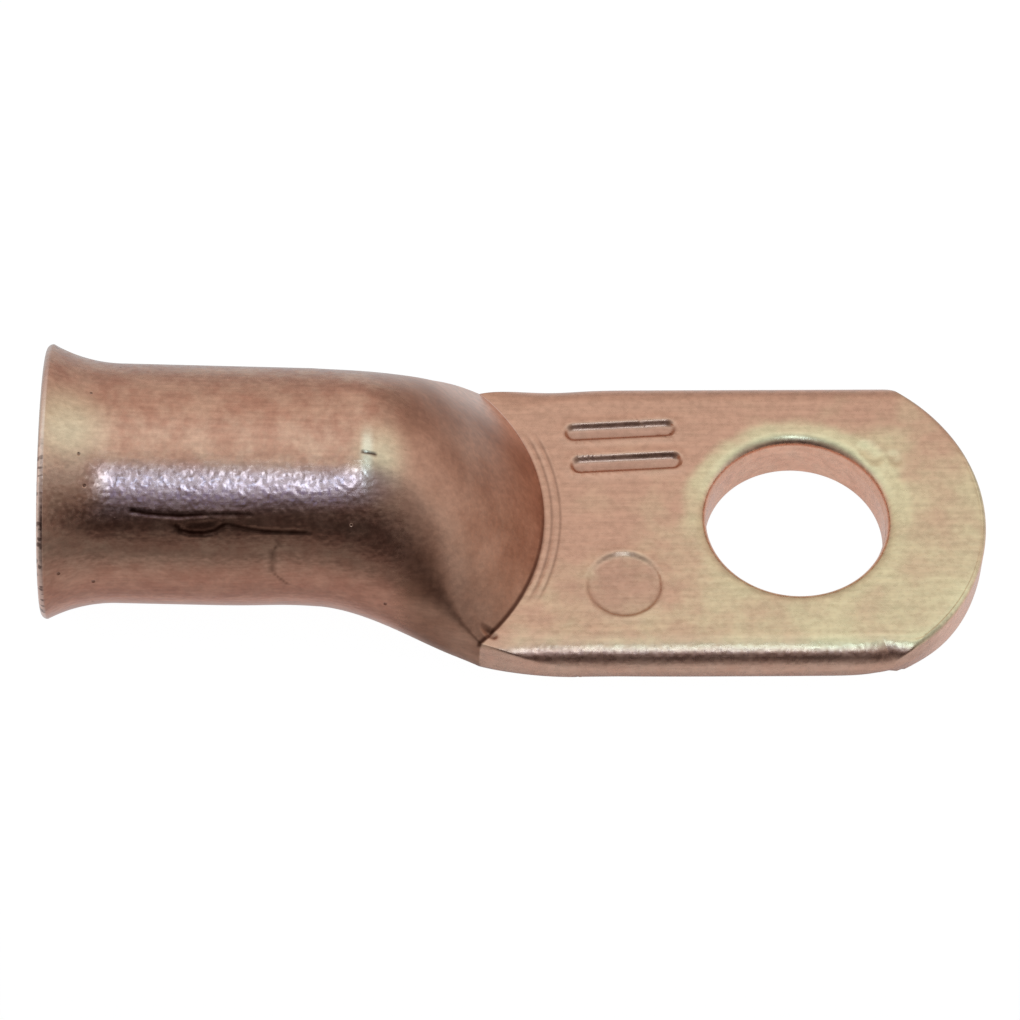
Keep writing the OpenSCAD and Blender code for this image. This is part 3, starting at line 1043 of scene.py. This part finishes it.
# %% The room
DARK = math.radians(19)
SQUEEZE = (1 / 0.35, 1, 1)
ROOM = [
    (180, (0.50, 0.475, 0.48)), (150, (0.55, 0.525, 0.53)), (130, (0.66, 0.635, 0.64)),
    (111, (0.725, 0.72, 0.73)), (91, (0.87, 0.94, 1.0)), (72, (0.86, 0.97, 1.02)),
    (57, (0.63, 0.72, 0.78)), (49, (0.45, 0.51, 0.56)), (41, (0.41, 0.45, 0.49)),
    (33, (0.35, 0.36, 0.38)), (25, (0.26, 0.255, 0.26)), (16, (0.15, 0.14, 0.145)),
    (9, (0.07, 0.06, 0.062)), (0, (0.04, 0.034, 0.035)),
]
world = bpy.data.worlds.new("room")
bpy.context.scene.world = world
world.use_nodes = True
tree = world.node_tree
tree.nodes.clear()
place = add_node(tree, kind("TexCoord")).outputs["Generated"]
toward = add_node(tree, UNIT, add_node(tree, OVER, place, SQUEEZE))
toward = add_node(tree, DOT, toward, (0, -math.cos(DARK), math.sin(DARK)))
turned = add_node(tree, ADD, add_node(tree, TIMES, toward, 0.5), 0.5)
bands = add_node(tree, kind("ValToRGB"), turned)
set_stops(bands, [((math.cos(math.radians(away)) + 1) / 2, (*light, 1)) for away, light in ROOM])
room = add_node(tree, kind("Background"), bands, 1.0)
white = add_node(tree, kind("Background"), (1, 1, 1, 1), 1.0)
seen = add_node(tree, kind("LightPath")).outputs["Is Camera Ray"]
add_node(tree, kind("OutputWorld"), add_node(tree, kind("MixShader"), seen, room, white))
print("room nodes:", len(tree.nodes), "bands:", len(ROOM))

# %% [markdown]
# ## The lamps
# Three flat lamps in front and overhead are what the barrel's long glints show: a
# wide, faint blue one, a small window and a softbox over the palm.


# %% Lamps
def panel(name, middle, wide, tall, up, colour, radiance, distance=0.6):
    """A flat lamp facing the lug from the front, up degrees above the table, with
    the power that gives it the stated radiance."""
    made = bpy.data.objects.new(name, bpy.data.lights.new(name, "AREA"))
    bpy.context.scene.collection.objects.link(made)
    made.data.shape = "RECTANGLE"
    made.data.size, made.data.size_y = wide, tall
    made.data.color = linear(colour)[:3]
    made.data.energy = radiance * math.pi * wide * tall
    turn = math.radians(up)
    away = Vector((0, -math.cos(turn), math.sin(turn)))
    stand = Vector((middle, 0, 0.008)) + distance * away
    made.matrix_world = Matrix.Translation(stand) @ away.to_track_quat("Z", "Y").to_matrix().to_4x4()
    return made


halo = panel("halo", -0.024, 0.060, 0.23, 50, "#8cb0ff", 0.5)
window = panel("window", -0.030, 0.036, 0.045, 58, "#a4d6ff", 4.5)
softbox = panel("softbox", 0.037, 0.084, 0.22, 60, "#bfe4ff", 3.6)
print("lamps:", window.name, halo.name, softbox.name)

# %% [markdown]
# ## The camera
# A long lens from above and in front. back, right and up are the camera's own axes:
# they are set from its elevation, azimuth and roll, and then it is turned a hair so
# that the lug stands a little off the middle.

# %% Camera
ELEVATION, AZIMUTH, ROLL = math.radians(56), math.radians(-1.01), math.radians(0.61)
LUG_MIDDLE, STAND_OFF = Vector((-0.0163, 0, 0.004)), 0.239
AIM_LEFT, AIM_DOWN = 0.0003235, 0.0000925
LENS, SENSOR = 146.0, 36.0
flat = math.cos(ELEVATION)
back = Vector((flat * math.sin(AZIMUTH), -flat * math.cos(AZIMUTH), math.sin(ELEVATION)))
right = Vector((math.cos(AZIMUTH), math.sin(AZIMUTH), 0))
up = back.cross(right)
lean_cos, lean_sin = math.cos(ROLL), math.sin(ROLL)
right, up = lean_cos * right + lean_sin * up, lean_cos * up - lean_sin * right
stand = LUG_MIDDLE + STAND_OFF * back
back = (stand - (LUG_MIDDLE - AIM_LEFT * right - AIM_DOWN * up)).normalized()
right = up.cross(back).normalized()
up = back.cross(right)

scene = bpy.context.scene
camera = bpy.data.objects.new("camera", bpy.data.cameras.new("camera"))
scene.collection.objects.link(camera)
camera.matrix_world = Matrix((right, up, back)).transposed().to_4x4()
camera.location = stand
camera.data.lens = LENS
camera.data.sensor_width = SENSOR
camera.data.clip_start = 0.01
scene.camera = camera
scene.view_settings.view_transform = "Standard"
print("camera at, mm:", [round(part / MM) for part in stand])
